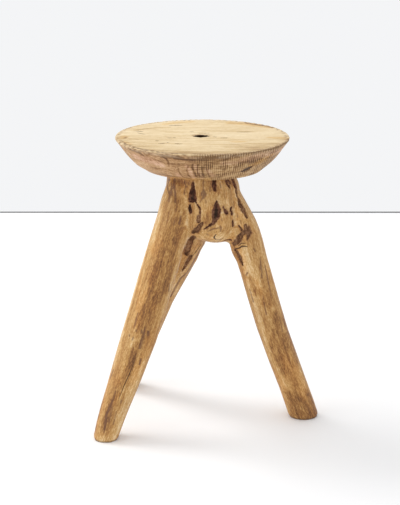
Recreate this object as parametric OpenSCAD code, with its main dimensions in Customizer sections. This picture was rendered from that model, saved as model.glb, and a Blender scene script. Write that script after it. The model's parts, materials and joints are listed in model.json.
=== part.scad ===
// A low tripod stool: a round plank seat, pegged to the top of a natural three-way fork of a tree.
// The limbs of the fork, cut to length and turned upside down, are the legs.
// Millimetres, +Z up, feet on z = 0, and the origin in the middle of the footprint.

/* [Seat] */
// Height of the seat's top above the floor
stool_h = 460; // [400:5:500]
// Diameter of the seat at its top edge
seat_d = 270; // [250:1:290]
// Thickness of the seat plank
seat_thick = 48; // [40:1:56]
// Diameter of the flat under the seat, where the hewn bevel ends
underside_d = 180; // [150:1:200]
// How far the hewn bevel swells out from a straight cone
bevel_swell = 3.5; // [0:0.5:6]
// Radius of the worn top edge
edge_round = 2; // [1:0.5:6]

/* [Peg] */
// Diameter of the hole through the seat and of the blind hole in the trunk
hole_d = 26; // [22:1:32]
// Depth of the blind hole in the trunk
blind_depth = 60; // [40:1:70]
// How far the top of the peg has sunk below the seat's top
peg_sunk = 9; // [4:1:14]
// Gap between the peg and the wall of its hole
peg_gap = 0.05; // [0.02:0.01:0.1]
// Length of each wedge, and depth of the saw cut that it fills
wedge_len = 30; // [20:1:34]
// Thickness of a wedge at its driven end
wedge_thick = 4; // [3:0.5:6]
// Thickness of a wedge at its thin end
wedge_tip = 1; // [0.5:0.5:2]

/* [Fork] */
// How far the feet are spread, as a factor
spread = 1; // [0.9:0.02:1.1]
// How stout the trunk and limbs are, as a factor
stoutness = 1; // [0.9:0.02:1.1]
// Number of flats around a limb
limb_sides = 16; // [12:2:24]
// Number of rings from one station of a limb to the next
limb_steps = 2; // [1:1:3]

/* [Hidden] */
$fn = 96;
// Steps around the quarter circle of the worn edge
edge_steps = 5;
// Steps down the bevel
bevel_steps = 6;
// How far a cutting shape passes the face that it cuts
past = 1;

// Each station of a limb is a level slice: [height in % of the fork, x, y, width, depth], with
// x and y counted from the seat's axis. The first slice of a leg is the flat of its foot.
LEFT_LEG = [
    [0, -151, -102, 37, 37], [1.5, -150, -101, 40, 40], [13, -135, -91, 47, 46],
    [36, -101, -70, 58, 54], [60, -71, -47, 59, 57], [83, -41, -28, 59, 56],
    [90, -33.5, -21, 58.5, 54], [96, -24, -14, 57, 50]
];
RIGHT_LEG = [
    [0, 164, -8, 46, 43], [1.5, 163, -8, 49, 46], [12, 148, -7, 49, 47],
    [36, 112, -7, 50, 48], [60, 83, -6, 50, 48], [66, 75, -5, 52, 48], [72, 67, -6, 56, 50],
    [80, 58, -5, 51, 50], [95, 26, -5, 46, 50]
];
REAR_LEG = [
    [0, -130, 125, 38, 38], [1.5, -129, 124, 41, 41], [40, -75, 81, 53, 50],
    [60, -37, 58, 59, 54], [80, -5, 34, 56, 55], [95, 4, 12, 50, 50]
];
// The trunk swells above the fork and ends below in a rounded stub between the legs.
TRUNK = [
    [71.6, 27, -8, 26, 24], [72.6, 22, -8, 50, 44], [73.6, 17, -8, 72, 60],
    [75.5, 12, -6, 92, 78], [83, 4, 0, 118, 100], [91, 1, 2, 116, 98],
    [95.5, -1, 2, 109, 99], [100, -3, 3, 100, 98]
];

base_h = stool_h - seat_thick;
seat_r = seat_d / 2;
hole_r = hole_d / 2;
peg_r = hole_r - peg_gap;
peg_bottom = base_h - blind_depth;
peg_top = stool_h - peg_sunk;

// The footprint's edges, counted from the seat's axis: the left and right feet reach furthest
// sideways, the seat's rim to the front, and the rear foot to the back.
left_edge = spread * LEFT_LEG[1][1] - stoutness * LEFT_LEG[1][3] / 2;
right_edge = spread * RIGHT_LEG[1][1] + stoutness * RIGHT_LEG[1][3] / 2;
front_edge = -seat_r;
back_edge = spread * REAR_LEG[1][2] + stoutness * REAR_LEG[1][4] / 2;
seat_axis = [-(left_edge + right_edge) / 2, -(front_edge + back_edge) / 2];
// The peg stands a little off the middle of the seat.
peg_axis = seat_axis + [-2, 8];

// Change of a slice per % of height at station i
function slope(stations, i) =
    let (
        below = stations[max(i - 1, 0)],
        above = stations[min(i + 1, len(stations) - 1)]
    )
    (above - below) / (above[0] - below[0]);

// The slice a part t (0 to 1) of the way from station i to the next, on a smooth curve
function slice_between(stations, i, t) =
    let (
        low = stations[i],
        high = stations[i + 1],
        rise = high[0] - low[0]
    )
    low * (2 * pow(t, 3) - 3 * pow(t, 2) + 1) + high * (3 * pow(t, 2) - 2 * pow(t, 3))
    + slope(stations, i) * rise * (pow(t, 3) - 2 * pow(t, 2) + t)
    + slope(stations, i + 1) * rise * (pow(t, 3) - pow(t, 2));

// All slices of a limb, from its lowest station to its highest
function all_slices(stations) = [
    for (i = [0:len(stations) - 2], k = [0:limb_steps - 1])
        slice_between(stations, i, k / limb_steps),
    stations[len(stations) - 1]
];

// The point of a slice at an angle around it
function slice_point(slice, angle) = [
    seat_axis.x + spread * slice[1] + stoutness * slice[3] / 2 * cos(angle),
    seat_axis.y + spread * slice[2] + stoutness * slice[4] / 2 * sin(angle),
    base_h * slice[0] / 100
];

// A closed limb through level elliptical slices
module limb(stations) {
    slices = all_slices(stations);
    n = limb_sides;
    last = n * (len(slices) - 1);
    points = [
        for (slice = slices, k = [0:n - 1])
            slice_point(slice, 360 * k / n)
    ];
    sides = [
        for (r = [0:n:last - n], k = [0:n - 1])
            let (here = r + k, next = r + (k + 1) % n)
            each [[here, here + n, next], [next, here + n, next + n]]
    ];
    bottom = [for (k = [0:n - 1]) k];
    top = [for (k = [n - 1:-1:0]) last + k];
    polyhedron(points, concat([bottom], sides, [top]));
}

// The outline of a wedge seen along its edge, driven end at y = 0, with its cheeks drawn
// straight on past that end when it is to cut a slot
module wedge_outline(past_end) {
    polygon([
        [-wedge_thick / 2, past_end], [wedge_thick / 2, past_end], [wedge_thick / 2, 0],
        [wedge_tip / 2, -wedge_len], [-wedge_tip / 2, -wedge_len], [-wedge_thick / 2, 0]
    ]);
}

// The top wedge lies across the grain of the seat, so that it spreads the peg along the grain.
module top_wedge_space(past_end = 0) {
    translate([peg_axis.x, peg_axis.y, peg_top])
        rotate([90, 0, 0])
        linear_extrude(hole_d, center = true)
        wedge_outline(past_end);
}

// The blind wedge stands on the floor of the blind hole, a quarter turn from the top one, and
// goes up into the peg as the peg is driven home.
module blind_wedge_space(past_end = 0) {
    translate([peg_axis.x, peg_axis.y, peg_bottom])
        rotate([90, 180, 90])
        linear_extrude(hole_d, center = true)
        wedge_outline(past_end);
}

// A round bar on the peg's axis, from one height to another
module peg_bar(radius, low, high) {
    translate([peg_axis.x, peg_axis.y, low])
        cylinder(h = high - low, r = radius);
}

// Seat: one thick plank, sawn round and hewn to a bevel all round its underside
module seat() {
    bevel_top = stool_h - edge_round;
    underside_r = underside_d / 2;
    slant = norm([seat_r - underside_r, bevel_top - base_h]);
    bevel = [
        for (k = [0:bevel_steps - 1])
            let (
                t = k / bevel_steps,
                swell = bevel_swell * sin(180 * t) / slant
            )
            [
                underside_r + t * (seat_r - underside_r) + swell * (bevel_top - base_h),
                base_h + t * (bevel_top - base_h) - swell * (seat_r - underside_r)
            ]
    ];
    edge = [
        for (k = [0:edge_steps])
            let (angle = 90 * k / edge_steps)
            [seat_r - edge_round * (1 - cos(angle)), bevel_top + edge_round * sin(angle)]
    ];
    outline = concat([[0, base_h]], bevel, edge, [[0, stool_h]]);
    color([0.93, 0.83, 0.66])
        difference() {
            translate([seat_axis.x, seat_axis.y, 0])
                rotate_extrude()
                polygon(outline);
            peg_bar(hole_r, base_h - past, stool_h + past);
        }
}

// Tripod base: the fork in one piece, with a blind hole in the sawn end of the trunk
module tripod_base() {
    color([0.72, 0.54, 0.35])
        difference() {
            union() {
                limb(TRUNK);
                limb(LEFT_LEG);
                limb(RIGHT_LEG);
                limb(REAR_LEG);
            }
            peg_bar(hole_r, peg_bottom, base_h + past);
        }
}

// Seat peg: a round bar that passes through the seat into the blind hole, sawn at both ends
module seat_peg() {
    color([0.52, 0.36, 0.22])
        difference() {
            peg_bar(peg_r, peg_bottom, peg_top);
            top_wedge_space(past);
            blind_wedge_space(past);
        }
}

// Top wedge: spreads the peg in the seat
module top_wedge() {
    color([0.62, 0.45, 0.28])
        intersection() {
            peg_bar(peg_r, peg_bottom, peg_top);
            top_wedge_space();
        }
}

// Blind wedge: spreads the peg in the blind hole
module blind_wedge() {
    color([0.62, 0.45, 0.28])
        intersection() {
            peg_bar(peg_r, peg_bottom, peg_top);
            blind_wedge_space();
        }
}

seat();
tripod_base();
seat_peg();
top_wedge();
blind_wedge();
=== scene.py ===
"""A tripod stool: a scrubbed plank seat pegged to a forked branch whose three limbs are the legs.

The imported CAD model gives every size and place. The seat and the forked base are rebuilt around it as
detailed meshes, and the peg and its wedges keep their CAD shape with their own materials.
"""

import json
import math

import bmesh
import bpy
import numpy as np
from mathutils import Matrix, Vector
from mathutils.bvhtree import BVHTree


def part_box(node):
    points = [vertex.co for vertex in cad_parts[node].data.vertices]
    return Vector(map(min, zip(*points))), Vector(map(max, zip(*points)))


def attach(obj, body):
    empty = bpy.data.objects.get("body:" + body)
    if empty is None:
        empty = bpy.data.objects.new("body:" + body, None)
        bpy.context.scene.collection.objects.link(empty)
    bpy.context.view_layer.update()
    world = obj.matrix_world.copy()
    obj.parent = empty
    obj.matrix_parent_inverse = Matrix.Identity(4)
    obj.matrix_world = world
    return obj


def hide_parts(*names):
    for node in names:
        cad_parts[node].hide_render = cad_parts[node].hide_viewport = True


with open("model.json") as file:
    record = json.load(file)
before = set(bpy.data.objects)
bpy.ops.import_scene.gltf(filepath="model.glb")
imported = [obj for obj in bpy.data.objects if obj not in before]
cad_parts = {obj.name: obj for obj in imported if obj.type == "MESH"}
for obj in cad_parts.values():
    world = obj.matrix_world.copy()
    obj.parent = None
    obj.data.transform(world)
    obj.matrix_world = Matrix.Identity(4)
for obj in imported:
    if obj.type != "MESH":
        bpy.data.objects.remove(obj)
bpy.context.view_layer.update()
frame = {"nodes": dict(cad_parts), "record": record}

MM = 0.001

# ---------------------------------------------------------------- sizes read from the frame
seat_low, seat_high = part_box("seat")
base_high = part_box("tripod_base")[1]
peg_low, peg_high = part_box("seat_peg")
SEAT_TOP = seat_high.z
SEAT_BOTTOM = seat_low.z
SEAT_RADIUS = (seat_high.x - seat_low.x) / 2
SEAT_CENTRE = np.array([(seat_low.x + seat_high.x) / 2, (seat_low.y + seat_high.y) / 2])
HOLE_CENTRE = np.array([(peg_low.x + peg_high.x) / 2, (peg_low.y + peg_high.y) / 2])
# the seat's bore, a little wider than the peg in it
HOLE_RADIUS = (peg_high.x - peg_low.x) / 2 + 0.4 * MM
FEET = {
    mount["name"]: np.array(mount["pos_m"])
    for mount in frame["record"]["mounts"]
    if mount["name"].endswith("_foot")
}

# ---------------------------------------------------------------- driving sizes of the detail
# size of the base's even quads, and how near to a mark's outline they are made finer
BASE_VOXEL = 2.2 * MM
REFINED_BAND = 2.6 * MM
# the flat under the seat: its radius, and how far the hewing puts it out of round
UNDERSIDE_RADIUS = 91 * MM
UNDERSIDE_SKEW = 3 * MM
# how far the bevel swells out from a straight cone, and the far side from a circle
BEVEL_SWELL = 3.8 * MM
FAR_SIDE_SWELL = 3.8 * MM
SEAT_EDGE_ROUND = 1.5 * MM
HOLE_LIP = 1.5 * MM
# half the width of the hole's ragged mouth, along the grain and across it
MOUTH_ALONG, MOUTH_ACROSS = 12.5 * MM, 9.5 * MM
# the mouth's outline, from 1 for a diamond to 2 for an ellipse, and how ragged it is
MOUTH_POINTED, MOUTH_RAGGED = 1.15, 0.16
# points in each stretch of the seat's section, and round the part of the rim that isn't scored
BORE_STEPS, LIP_STEPS, TOP_STEPS = 12, 5, 54
EDGE_STEPS, BEVEL_STEPS, UNDERSIDE_STEPS = 6, 40, 20
SEAT_COARSE_STEPS = 380
# how far the carved top stays below the top of the CAD seat
TOP_CLEARANCE = 0.001 * MM


# ---------------------------------------------------------------- arrays and shapes
def smooth_step(low, high, x):
    """0 below low, 1 above high, and smooth between."""
    t = np.clip((x - low) / (high - low), 0.0, 1.0)
    return t * t * (3.0 - 2.0 * t)


def waves(points, size, seed, count=20):
    """Seeded smooth unevenness, mostly between -1 and 1, with bumps about size apart."""
    rng = np.random.default_rng(seed)
    directions = rng.normal(size=(count, 3))
    directions /= np.linalg.norm(directions, axis=1)[:, None]
    lengths = size * rng.uniform(1.2, 2.6, count)
    phases = rng.uniform(0, 2 * math.pi, count)
    angles = points @ (2 * math.pi * directions / lengths[:, None]).T + phases
    return np.sin(angles).sum(axis=1) / math.sqrt(2 * count)


def mesh_points(mesh):
    points = np.empty(len(mesh.vertices) * 3, np.float32)
    mesh.vertices.foreach_get("co", points)
    return points.reshape(-1, 3).astype(float)


def set_mesh_points(mesh, points):
    mesh.vertices.foreach_set("co", points.astype(np.float32).ravel())
    mesh.update()


def mesh_normals(mesh):
    normals = np.empty(len(mesh.vertices) * 3, np.float32)
    mesh.vertex_normals.foreach_get("vector", normals)
    return normals.reshape(-1, 3).astype(float)


def mesh_edges(mesh):
    edges = np.empty(len(mesh.edges) * 2, np.int32)
    mesh.edges.foreach_get("vertices", edges)
    return edges.reshape(-1, 2)


def neighbour_mean(points, edges, counts):
    """For each point, the mean of the points that an edge joins it to."""
    total = np.empty_like(points)
    for axis in range(3):
        column = points[:, axis]
        total[:, axis] = np.bincount(edges[:, 0], column[edges[:, 1]], len(points))
        total[:, axis] += np.bincount(edges[:, 1], column[edges[:, 0]], len(points))
    return total / counts[:, None]


def relax(points, edges, strengths, rounds):
    """Moves points towards their neighbours' mean, each round by its strengths in turn."""
    counts = np.maximum(np.bincount(edges.ravel(), minlength=len(points)), 1)
    for _ in range(rounds):
        for strength in strengths:
            pull = neighbour_mean(points, edges, counts) - points
            points = points + np.reshape(strength, (-1, 1)) * pull
    return points


def fill_creases(mesh, points, edges, strength, rounds):
    """Pulls points outwards to their neighbours' mean, and never inwards, so that only hollows fill."""
    counts = np.maximum(np.bincount(edges.ravel(), minlength=len(points)), 1)
    for turn in range(rounds):
        if turn % 10 == 0:
            set_mesh_points(mesh, points)
            normals = mesh_normals(mesh)
        pull = neighbour_mean(points, edges, counts) - points
        outwards = (pull * normals).sum(axis=1) > 0
        points = points + np.reshape(strength * outwards, (-1, 1)) * pull
    return points


def store(mesh, name, values):
    """Keeps one number or one vector per point on the mesh, for its material to read."""
    kind = "FLOAT" if values.ndim == 1 else "FLOAT_VECTOR"
    key = "value" if values.ndim == 1 else "vector"
    layer = mesh.attributes.new(name, kind, "POINT")
    layer.data.foreach_set(key, values.astype(np.float32).ravel())


def shade_smooth(mesh):
    mesh.polygons.foreach_set("use_smooth", np.ones(len(mesh.polygons), bool))


def new_object(name, mesh):
    obj = bpy.data.objects.new(name, mesh)
    bpy.context.scene.collection.objects.link(obj)
    return obj


def remeshed_copy(node, name, voxel):
    """An even quad mesh over the surface of a CAD node."""
    obj = new_object(name, frame["nodes"][node].data.copy())
    modifier = obj.modifiers.new("even_quads", "REMESH")
    modifier.mode = "VOXEL"
    modifier.voxel_size = voxel
    evaluated = obj.evaluated_get(bpy.context.evaluated_depsgraph_get())
    mesh = bpy.data.meshes.new_from_object(evaluated)
    obj.modifiers.clear()
    obj.data = mesh
    mesh.materials.clear()
    return obj


# ---------------------------------------------------------------- strokes drawn on a surface
class Stroke:
    """A mark on a surface: a line through points (x, y, z, half width), all in mm."""

    STEP = 0.4 * MM
    POINTS_AT_ONCE = 4000

    def __init__(self, marks, surface):
        marks = np.array(marks, float) * MM
        along = [marks[0]]
        for a, b in zip(marks[:-1], marks[1:]):
            steps = max(1, int(np.linalg.norm(b[:3] - a[:3]) / self.STEP))
            along += [a + (b - a) * (k + 1) / steps for k in range(steps)]
        line = np.array(along)
        self.points = np.array([surface.find_nearest(Vector(p))[0] for p in line[:, :3]])
        self.widths = line[:, 3]

    def inside(self, points, reach):
        """How far each point is inside the stroke's outline; -reach where it is far outside."""
        depth = np.full(len(points), -reach)
        low = self.points.min(0) - reach - self.widths.max()
        high = self.points.max(0) + reach + self.widths.max()
        near = np.nonzero(((points > low) & (points < high)).all(axis=1))[0]
        for start in range(0, len(near), self.POINTS_AT_ONCE):
            some = near[start : start + self.POINTS_AT_ONCE]
            gaps = np.linalg.norm(points[some, None] - self.points[None], axis=2)
            depth[some] = np.maximum((self.widths - gaps).max(axis=1), -reach)
        return depth


def strokes_on(surface, table):
    return [Stroke(marks, surface) for marks in table]


def strokes_inside(strokes, points, reach=10 * MM):
    depth = np.full(len(points), -reach)
    for stroke in strokes:
        depth = np.maximum(depth, stroke.inside(points, reach))
    return depth


def surface_of(mesh):
    return BVHTree.FromPolygons(
        [v.co for v in mesh.vertices], [tuple(p.vertices) for p in mesh.polygons]
    )


def refine(mesh, strokes, band):
    """Splits the mesh's edges in two wherever both ends are within band of a stroke's outline."""
    near = np.abs(strokes_inside(strokes, mesh_points(mesh))) < band
    work = bmesh.new()
    work.from_mesh(mesh)
    work.verts.ensure_lookup_table()
    edges = [e for e in work.edges if near[e.verts[0].index] and near[e.verts[1].index]]
    bmesh.ops.subdivide_edges(work, edges=edges, cuts=1, use_grid_fill=True)
    work.to_mesh(mesh)
    work.free()
    mesh.update()


# ---------------------------------------------------------------- materials
class Material:
    """A node material under construction. Inputs given as sockets are linked, others are set."""

    def __init__(self, name):
        self.material = bpy.data.materials.new(name)
        self.material.use_nodes = True
        self.tree = self.material.node_tree
        self.shader = self.tree.nodes["Principled BSDF"]

    def put(self, socket, value):
        if isinstance(value, bpy.types.NodeSocket):
            self.tree.links.new(value, socket)
        elif socket.type == "RGBA":
            socket.default_value = (*value, 1.0)
        else:
            socket.default_value = value

    def node(self, kind, inputs, **settings):
        made = self.tree.nodes.new("ShaderNode" + kind)
        for key, value in settings.items():
            setattr(made, key, value)
        for key, value in inputs.items():
            self.put(made.inputs[key], value)
        return made

    def attribute(self, name, output="Fac"):
        return self.node("Attribute", {}, attribute_name=name).outputs[output]

    def attributes(self, *names):
        return [self.attribute(name) for name in names]

    def math(self, operation, a, b=0.0, clamp=False):
        return self.node("Math", {0: a, 1: b}, operation=operation, use_clamp=clamp).outputs[0]

    def scaled(self, vector, scale):
        return self.node("Mapping", {"Vector": vector, "Scale": scale}).outputs[0]

    def noise(self, vector, scale, detail=3.0, w=None, distortion=0.0, roughness=0.5):
        inputs = {
            "Vector": vector, "Scale": scale, "Detail": detail,
            "Roughness": roughness, "Distortion": distortion,
        }
        if w is None:
            return self.node("TexNoise", inputs).outputs["Fac"]
        inputs["W"] = w
        return self.node("TexNoise", inputs, noise_dimensions="4D").outputs["Fac"]

    def range(self, value, low, high, to_low=0.0, to_high=1.0):
        """value from low..high carried to to_low..to_high with a smooth start and end."""
        inputs = {"Value": value, 1: low, 2: high, 3: to_low, 4: to_high}
        made = self.node("MapRange", inputs, interpolation_type="SMOOTHSTEP")
        return made.outputs[0]

    def mix(self, factor, a, b, blend="MIX"):
        made = self.node("Mix", {0: factor}, data_type="RGBA", blend_type=blend)
        self.put(made.inputs[6], a)
        self.put(made.inputs[7], b)
        return made.outputs[2]

    def ramp(self, value, stops):
        """A colour ramp with stops (place, colour), smooth between them."""
        made = self.node("ValToRGB", {"Fac": value})
        elements = made.color_ramp.elements
        while len(elements) < len(stops):
            elements.new(1.0)
        for element, (place, colour) in zip(elements, stops):
            element.position = place
            element.color = (*colour, 1.0)
        return made.outputs["Color"]

    def weighted(self, middle, *terms):
        """middle plus each (weight, noise), where a noise counts from its own middle of 0.5."""
        total = middle
        for weight, noise in terms:
            offset = self.math("SUBTRACT", noise, 0.5)
            total = self.math("ADD", self.math("MULTIPLY", offset, weight), total)
        return total

    def bump(self, height, distance, strength=1.0, below=None):
        inputs = {"Height": height, "Distance": distance, "Strength": strength}
        if below is not None:
            inputs["Normal"] = below
        return self.node("Bump", inputs).outputs[0]

    def finish(self, **inputs):
        for key, value in inputs.items():
            self.put(self.shader.inputs[key.replace("_", " ").title()], value)
        return self.material


# ---------------------------------------------------------------- the forked base
# Marks on the base. Each is a line of points (x, y, z, half width) in mm, on or near the surface.
BARK_POCKETS = [
    # the bullet-shaped pocket between the left limb and the trunk, and the patch below it
    [(-23, -49, 399, 0.8), (-23, -49, 390, 3.2), (-24, -49, 380, 5.0), (-24, -50, 372, 6.2)],
    [(-28, -51, 363, 1.4), (-28, -51, 357, 2.2), (-27, -51, 351, 2.2)],
    # the broken seam that runs down to the left crotch
    [(-21, -51, 371, 0.9), (-17, -52, 363, 1.0), (-13, -53, 358, 0.9), (-12, -54, 346, 1.1)],
    # small pockets near the top of the trunk
    [(9, -48, 402, 3.0), (9, -48, 393, 3.6), (10, -48, 386, 2.6)],
    [(30, -38, 398, 2.4), (31, -38, 391, 1.6)],
    [(34, -35, 399, 1.4), (36, -33, 394, 1.8)],
    [(33, -36, 389, 1.8), (34, -35, 386, 1.0)],
    # the big lens in the middle of the trunk and its tail
    [(13, -49, 368, 0.8), (13, -50, 361, 4.2), (13, -51, 353, 6.8), (12, -52, 346, 6.4),
     (10, -53, 339, 4.4), (8, -53, 334, 2.4)],
    [(7, -53, 334, 1.8), (0, -54, 329, 1.6), (-6, -53, 325, 1.1)],
    # specks to the right of the lens
    [(26, -45, 353, 2.4), (29, -44, 348, 2.8)],
    [(24, -46, 357, 1.1), (25, -45, 355, 0.9)],
    [(36, -40, 356, 1.6), (34, -40, 351, 1.4)],
    [(36, -39, 349, 1.8), (36, -39, 345, 1.5)],
    [(38, -39, 336, 1.0), (39, -38, 326, 1.9)],
    # the top of the strip between the trunk and the right limb
    [(41, -25, 398, 3.6), (41, -25, 389, 3.0), (43, -24, 383, 2.0)],
    # the notch under the stub
    [(26, -38, 301, 1.8), (31, -35, 300, 2.8), (35, -32, 300, 2.0)],
    # the trunk at the back
    [(3, 52, 388, 0.8), (2, 53, 376, 3.8), (4, 53, 363, 4.6), (8, 52, 350, 1.0)],
    [(24, 44, 372, 1.0), (27, 42, 360, 1.8), (28, 40, 348, 0.8)],
]
# shallower and less dark than the pockets
BARK_SEAMS = [
    # down to the left crotch
    [(-14, -53, 345, 2.8), (-15, -53, 337, 3.4)],
    [(-9, -53, 334, 1.8), (-14, -51, 327, 3.6), (-19, -49, 321, 4.4), (-22, -45, 318, 3.2)],
    # between the left and rear limbs, and the strip on the rear limb below it
    [(-23, -41, 309, 3.6), (-27, -26, 301, 5.4), (-29, -4, 289, 6.2), (-31, 14, 276, 5.6),
     (-34, 22, 265, 4.6)],
    [(-28, 27, 258, 3.8), (-31, 28, 251, 4.0), (-35, 30, 244, 3.2), (-38, 32, 238, 2.2),
     (-41, 33, 231, 0.8)],
    # between the trunk and the right limb
    [(43, -24, 381, 1.8), (45, -28, 370, 1.6)],
    [(47, -28, 367, 1.4), (50, -29, 359, 3.4), (54, -29, 350, 3.6), (57, -29, 343, 2.4),
     (60, -30, 337, 0.9)],
    # the blotchy patch in the right crotch, with two arms round an island of wood
    [(40, -29, 294, 3.0), (45, -33, 299, 4.6), (49, -34, 305, 4.2), (52, -35, 311, 3.2),
     (56, -35, 315, 3.8), (61, -34, 316, 5.2), (64, -33, 314, 4.4)],
    [(47, -34, 326, 0.6), (50, -35, 322, 1.1), (53, -35, 317, 2.0)],
    [(58, -33, 325, 1.6), (59, -34, 321, 3.0)],
    [(64, -32, 323, 1.0), (63, -33, 319, 3.0)],
    [(64, -33, 315, 3.2), (69, -31, 312, 1.0)],
    [(63, -34, 311, 3.2), (62, -34, 307, 2.2), (61, -35, 303, 0.8)],
    # down the right limb's inner side
    [(44, -25, 283, 3.0), (47, -27, 277, 4.2), (51, -28, 268, 3.4), (53, -29, 259, 1.0)],
    # the crotches at the back
    [(28, 36, 332, 2.0), (33, 31, 320, 4.2), (37, 25, 308, 3.6), (40, 19, 298, 1.4)],
    [(-56, 4, 348, 1.2), (-53, 7, 334, 3.4), (-51, 10, 318, 4.2), (-48, 12, 304, 1.8)],
]
CRACKS = [
    # left limb
    [(-111, -104, 134, 0.1), (-121, -109, 109, 0.45), (-130, -113, 90, 0.5), (-138, -116, 70, 0.1)],
    # right limb: creases where it swells out of the crotch
    [(43, -28, 286, 0.6), (48, -31, 288, 0.8), (53, -34, 292, 1.1), (61, -35, 292, 0.4)],
    [(47, -33, 292, 0.3), (52, -35, 297, 0.5), (58, -36, 297, 0.3)],
    [(126, 12, 150, 0.3), (138, 14, 110, 0.6), (150, 15, 70, 0.5), (160, 15, 45, 0.3)],
    # rear limb
    [(-26, 28, 257, 0.4), (-18, 28, 266, 0.8), (-15, 27, 272, 0.6), (-10, 27, 279, 0.3)],
    [(-70, 100, 200, 0.3), (-88, 112, 150, 0.7), (-104, 124, 100, 0.7), (-118, 134, 60, 0.3)],
    # round the knot of the stub between the limbs
    [(12, -49, 315, 0.5), (9, -49, 311, 1.0), (11, -46, 307, 0.6)],
]
# thin dark streaks and specks, not carved: stained fibres, and some painted shade along shaded edges
STREAKS = [
    # round the small pin knot at the top of the trunk, and its heart
    [(-7, -52, 387, 0.8), (-4, -52, 380, 1.4), (-7, -52, 373, 0.8)],
    [(-7, -52, 387, 0.8), (-10, -52, 380, 1.5), (-7, -52, 373, 0.8)],
    [(-7, -52, 382, 1.3), (-7, -52, 378, 1.3)],
    [(-7, -52, 388, 0.4), (-8, -52, 394, 0.5), (-7, -52, 401, 0.8)],
    [(-9, -53, 374, 0.5), (-13, -53, 367, 0.4)],
    # round the knot of the stub between the limbs
    [(-1, -52, 321, 0.4), (5, -51, 324, 0.8), (10, -51, 325, 0.7), (21, -49, 326, 0.6)],
    [(18, -50, 330, 0.5), (20, -49, 324, 0.8), (19, -49, 320, 0.5)],
    [(11, -46, 307, 0.6), (17, -44, 305, 0.7), (23, -43, 307, 0.4)],
    # the dark inner edge of the rear limb: partly dark bark, partly painted shade where the limb turns
    # from the light
    [(-5, 32, 281, 0.9), (-13, 35, 266, 1.2), (-24, 39, 243, 1.2), (-34, 43, 228, 1.3),
     (-45, 41, 217, 1.6),
     (-52, 46, 202, 1.8), (-61, 52, 182, 1.2)],
    # down the left limb's inner side, and the right limb's creases
    [(-60, -73, 243, 0.6), (-61, -72, 231, 1.2)],
    [(83, -31, 269, 0.4), (83, -32, 260, 1.3), (84, -33, 253, 0.6)],
    [(84, -33, 246, 0.8), (85, -34, 240, 0.9)],
    # the dark edge of the trunk's left side: reddish streaks, and painted shade at its top under the seat
    [(-62, -24, 396, 1.6), (-61, -27, 386, 1.2), (-57, -40, 376, 1.4), (-58, -42, 370, 0.6)],
    [(-52, -36, 398, 1.2), (-51, -40, 388, 1.5), (-50, -44, 380, 1.2), (-50, -50, 368, 1.4)],
    [(-56, -33, 392, 0.7), (-55, -38, 384, 0.8), (-54, -44, 374, 0.7)],
    [(-60, -18, 404, 1.5), (-60, -18, 393, 2.2)],
    [(-51, -32, 400, 0.8), (-53, -39, 385, 0.8)],
    [(-56, -39, 383, 0.9), (-59, -46, 366, 0.6)],
    [(-50, -46, 380, 0.9), (-50, -51, 366, 1.0)],
    [(-42, -58, 347, 0.9), (-44, -61, 335, 1.4)],
    [(-97, -95, 179, 0.6), (-99, -97, 169, 1.4), (-102, -99, 160, 1.8), (-105, -101, 148, 1.6)],
    [(-92, -96, 172, 1.8), (-92, -96, 167, 1.6)],
    [(-122, -92, 167, 0.7), (-121, -92, 164, 0.7)],
    [(-116, -97, 164, 0.7), (-117, -97, 160, 0.7)],
    [(-111, -95, 176, 0.6), (-111, -95, 173, 0.8)],
    [(-102, -97, 176, 0.7), (-103, -97, 171, 0.9)],
    [(-111, -90, 201, 0.5), (-114, -93, 188, 0.8), (-116, -94, 178, 0.4)],
    [(-104, -102, 130, 1.2), (-106, -103, 122, 1.2)],
    [(-134, -116, 68, 0.9), (-135, -116, 63, 0.7)],
    [(-143, -113, 82, 0.4), (-149, -116, 64, 1.4), (-157, -117, 46, 1.8), (-161, -123, 22, 1.6)],
    [(-148, -118, 58, 0.4), (-154, -122, 33, 0.8)],
    [(-142, -119, 50, 0.4), (-147, -122, 30, 0.6)],
    [(-148, -95, 110, 0.9), (-152, -96, 95, 1.1)],
    [(71, -33, 288, 0.7), (74, -33, 283, 0.7)],
    [(82, -30, 272, 0.4), (85, -32, 248, 0.7)],
    [(83, -30, 266, 0.5), (82, -33, 254, 0.7)],
    [(90, -27, 260, 0.4), (94, -29, 240, 0.8), (98, -30, 218, 0.6), (102, -30, 206, 0.3)],
    [(62, -31, 248, 1.0), (59, -30, 243, 0.9)],
    [(65, -29, 220, 0.5), (71, -29, 199, 1.0)],
    [(86, -35, 212, 0.4), (92, -36, 180, 0.7)],
    [(115, -29, 173, 0.4), (118, -30, 150, 0.6)],
    [(24, -46, 359, 0.9), (22, -46, 357, 0.7)],
    [(39, -35, 358, 0.6), (39, -36, 354, 0.6)],
    [(20, -48, 340, 0.5), (21, -48, 337, 0.5)],
    [(-3, -53, 316, 0.4), (2, -53, 313, 0.5)],
    [(-4, -53, 372, 0.4), (-4, -53, 366, 0.6)],
    [(3, -51, 392, 0.3), (3, -51, 384, 0.6)],
    [(20, -47, 396, 0.4), (21, -47, 388, 0.6)],
    [(45, -35, 345, 0.5), (46, -35, 339, 0.7)],
    [(50, -34, 334, 0.4), (51, -34, 329, 0.5)],
    [(-36, -54, 392, 0.5), (-37, -54, 380, 0.8)],
    [(-50, -62, 346, 0.4), (-53, -64, 334, 0.6)],
]
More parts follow.
